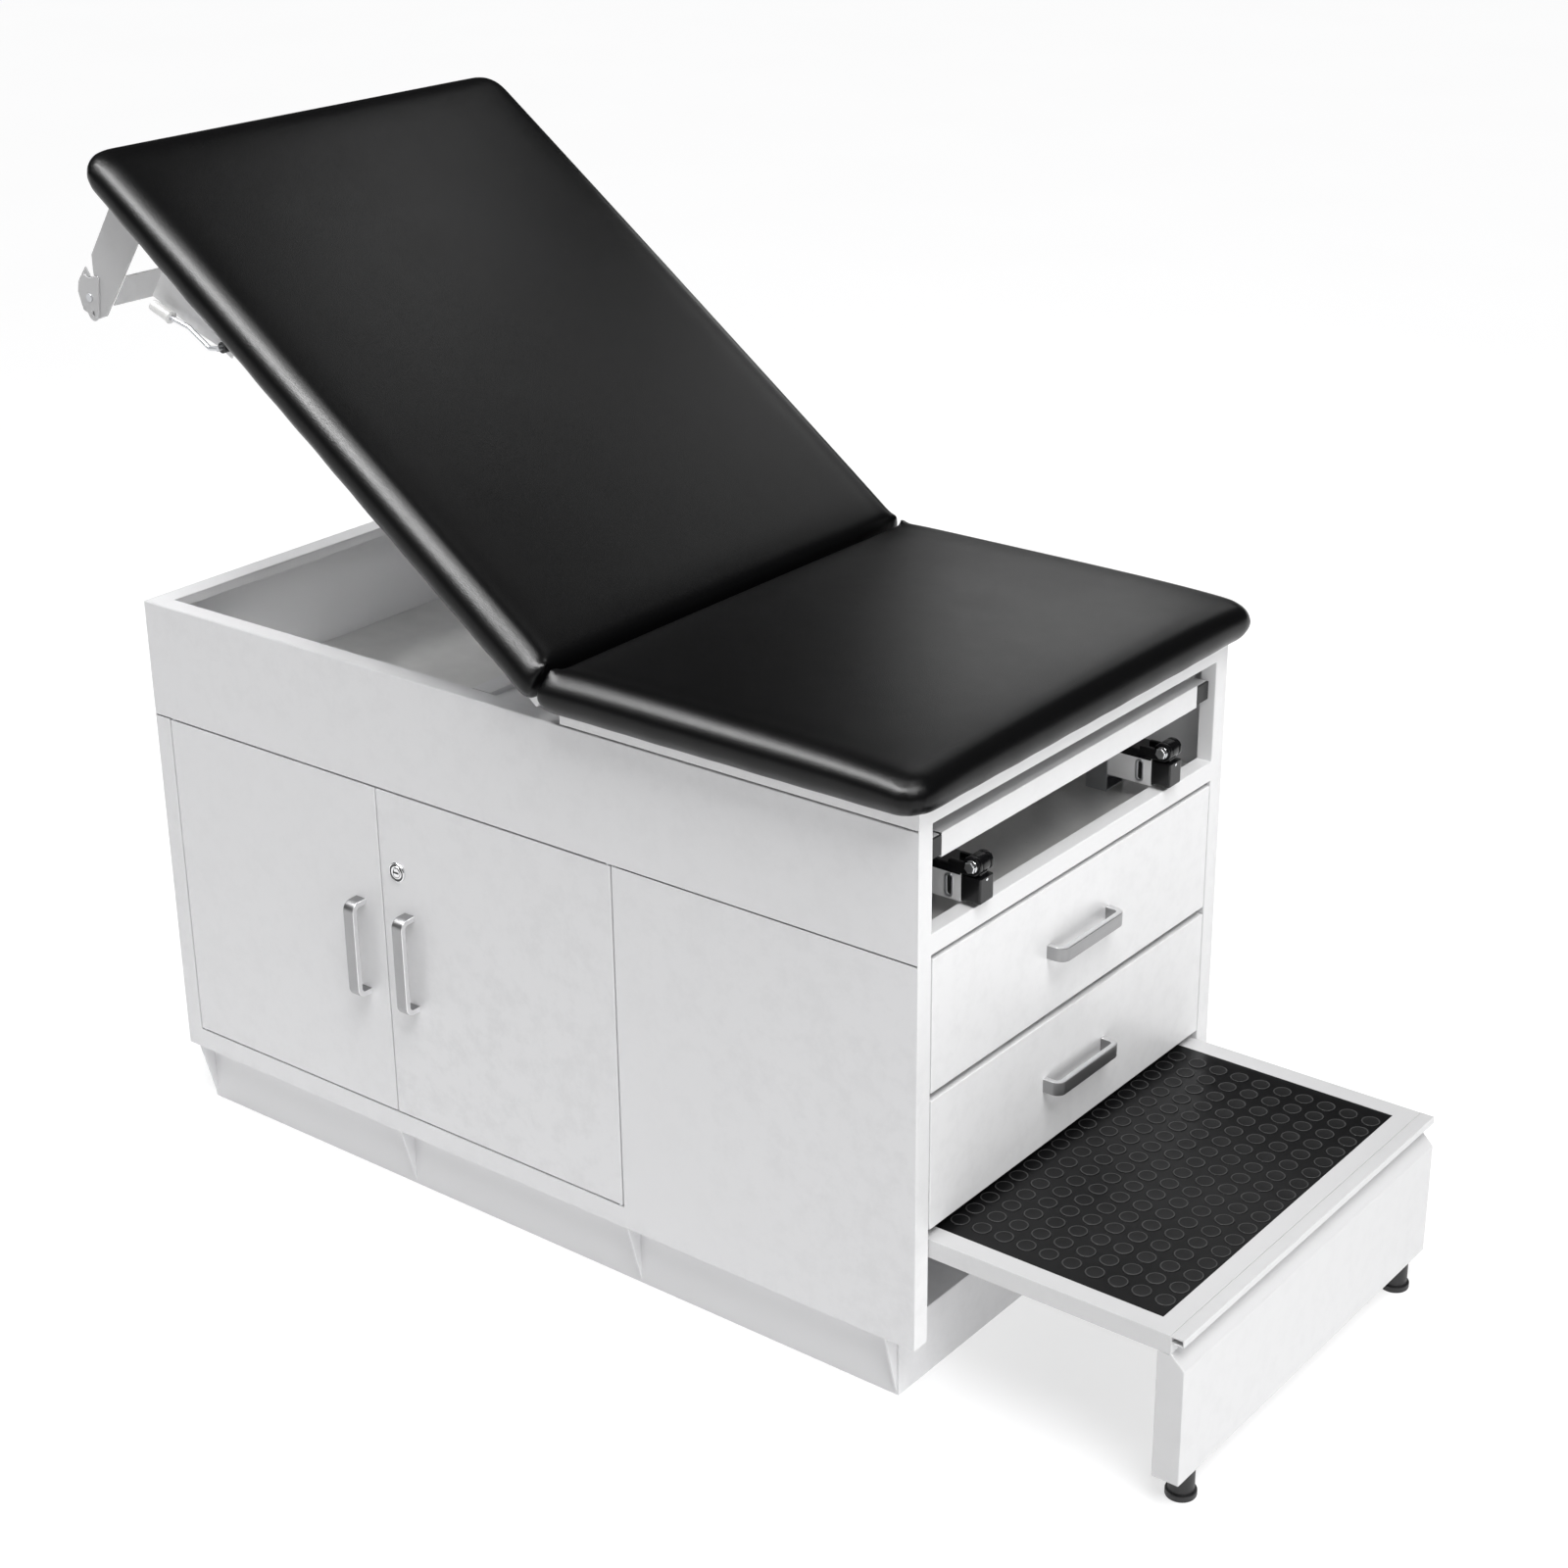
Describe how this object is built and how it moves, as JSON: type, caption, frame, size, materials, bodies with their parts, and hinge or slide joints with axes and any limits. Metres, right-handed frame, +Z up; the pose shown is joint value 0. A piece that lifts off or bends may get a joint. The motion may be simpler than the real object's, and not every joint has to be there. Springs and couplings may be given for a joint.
{
  "type": "medical examination table",
  "caption": "Steel cabinet examination table with a padded adjustable backrest, doors, drawers, pull-out step, leg rest and stirrup arms.",
  "frame": {"origin": "on the floor under the middle of the cabinet, in the plane of the plinth's flat underside", "axes": "+X from the head end to the foot end with the step, +Y away from the side with the doors, +Z up"},
  "size_m": [1.6731, 0.744, 1.3579],
  "materials": {
    "white_paint": "semi-gloss powder coat",
    "grey_paint": "semi-gloss powder coat",
    "upholstery": "satin vinyl-coated",
    "plywood": "raw",
    "zinc_steel": "zinc plated",
    "satin_metal": "satin",
    "black_metal": "black",
    "black_plastic": "matt",
    "rubber": "matt",
    "white_plastic": "matt"
  },
  "bodies": {
    "cabinet": {"plinth": "grey_paint", "near_lower_face": "grey_paint", "near_upper_panel": "grey_paint", "far_side_panel": "grey_paint", "head_end_panel": "grey_paint", "foot_frame": "white_paint", "base_pan": "grey_paint", "cupboard_floor": "grey_paint", "middle_shelf": "grey_paint", "bulkhead": "grey_paint", "hinge_deck": "grey_paint", "seat_platform": "white_paint", "seat_board": "plywood", "seat_cushion": "upholstery", "hinge_brackets": "zinc_steel", "hinge_pins": "zinc_steel", "drawer_slides": "zinc_steel", "step_guides": "zinc_steel", "leg_rest_guides": "white_paint", "stirrup_guides": "zinc_steel", "door_pivots": "zinc_steel"},
    "backrest": {"back_platform": "white_paint", "back_board": "plywood", "back_cushion": "upholstery", "roll_brackets": "white_paint", "roll_crossbar": "white_paint", "roll_latches": "grey_paint", "back_pins": "zinc_steel", "lever_bushes": "black_plastic"},
    "lever": {"release_lever": "zinc_steel", "lever_sleeve": "white_plastic"},
    "strut_cylinder": {"gas_cylinder": "black_metal"},
    "strut_rod": {"gas_rod": "zinc_steel"},
    "left_door": {"left_door": "grey_paint", "left_door_handle": "satin_metal"},
    "right_door": {"right_door": "grey_paint", "right_door_handle": "satin_metal", "lock_body": "satin_metal"},
    "lock": {"lock_cylinder": "satin_metal"},
    "upper_drawer": {"upper_drawer_front": "white_paint", "upper_drawer_box": "grey_paint", "upper_drawer_handle": "satin_metal"},
    "lower_drawer": {"lower_drawer_front": "white_paint", "lower_drawer_box": "grey_paint", "lower_drawer_handle": "satin_metal"},
    "step": {"step_frame": "white_paint", "step_mat": "rubber", "step_apron": "white_paint", "step_feet": "rubber", "step_rollers": "white_plastic"},
    "leg_rest": {"leg_rest_frame": "white_paint", "leg_rest_caps": "black_plastic"},
    "near_stirrup": {"near_stirrup_arm": "white_paint", "near_stirrup_head": "black_metal", "near_stirrup_bolts": "zinc_steel"},
    "near_block": {"near_stirrup_block": "black_metal"},
    "far_stirrup": {"far_stirrup_arm": "white_paint", "far_stirrup_head": "black_metal", "far_stirrup_bolts": "zinc_steel"},
    "far_block": {"far_stirrup_block": "black_metal"}
  },
  "joints": [
    {"name": "backrest_hinge", "type": "hinge", "parent": "cabinet", "child": "backrest", "pos_m": [0.092, 0, 0.767], "axis": [0, 1, 0], "range_deg": [-36.5, 8.5]},
    {"name": "strut_foot_pivot", "type": "hinge", "parent": "cabinet", "child": "strut_cylinder", "pos_m": [0.04, 0, 0.65], "axis": [0, 1, 0], "range_deg": [-32, 9]},
    {"name": "strut_stroke", "type": "slide", "parent": "strut_cylinder", "child": "strut_rod", "axis": [-0.5272, 0, 0.8497], "range_m": [-0.08, 0.02]},
    {"name": "release_lever_pivot", "type": "hinge", "parent": "backrest", "child": "lever", "pos_m": [-0.40648, -0.352, 1.13399], "axis": [0, 1, 0], "range_deg": [0, 10], "stiffness_Nm_per_rad": 1, "springref_deg": -17.19},
    {"name": "left_door_hinge", "type": "hinge", "parent": "cabinet", "child": "left_door", "pos_m": [-0.5962, -0.3255, 0.35], "axis": [0, 0, -1], "range_deg": [0, 105]},
    {"name": "right_door_hinge", "type": "hinge", "parent": "cabinet", "child": "right_door", "pos_m": [0.1772, -0.3255, 0.35], "axis": [0, 0, 1], "range_deg": [0, 105]},
    {"name": "lock_turn", "type": "hinge", "parent": "right_door", "child": "lock", "pos_m": [-0.181, -0.33, 0.483], "axis": [0, 1, 0], "range_deg": [0, 90]},
    {"name": "upper_drawer_slide", "type": "slide", "parent": "cabinet", "child": "upper_drawer", "axis": [1, 0, 0], "range_m": [0, 0.36]},
    {"name": "lower_drawer_slide", "type": "slide", "parent": "cabinet", "child": "lower_drawer", "axis": [1, 0, 0], "range_m": [0, 0.36]},
    {"name": "step_slide", "type": "slide", "parent": "cabinet", "child": "step", "axis": [1, 0, 0], "range_m": [-0.34, 0]},
    {"name": "leg_rest_slide", "type": "slide", "parent": "cabinet", "child": "leg_rest", "axis": [1, 0, 0], "range_m": [0, 0.3]},
    {"name": "near_stirrup_slide", "type": "slide", "parent": "cabinet", "child": "near_stirrup", "axis": [1, 0, 0], "range_m": [0, 0.25]},
    {"name": "near_block_pivot", "type": "hinge", "parent": "near_stirrup", "child": "near_block", "pos_m": [0.627, -0.2045, 0.675], "axis": [0, -1, 0], "range_deg": [0, 90]},
    {"name": "far_stirrup_slide", "type": "slide", "parent": "cabinet", "child": "far_stirrup", "axis": [1, 0, 0], "range_m": [0, 0.25]},
    {"name": "far_block_pivot", "type": "hinge", "parent": "far_stirrup", "child": "far_block", "pos_m": [0.627, 0.2045, 0.675], "axis": [0, -1, 0], "range_deg": [0, 90]}
  ],
  "couplings": [
    {"joint": "strut_foot_pivot", "follows": "backrest_hinge", "ratio": 0.81},
    {"joint": "strut_stroke", "follows": "backrest_hinge", "m_per_rad": 0.118}
  ]
}
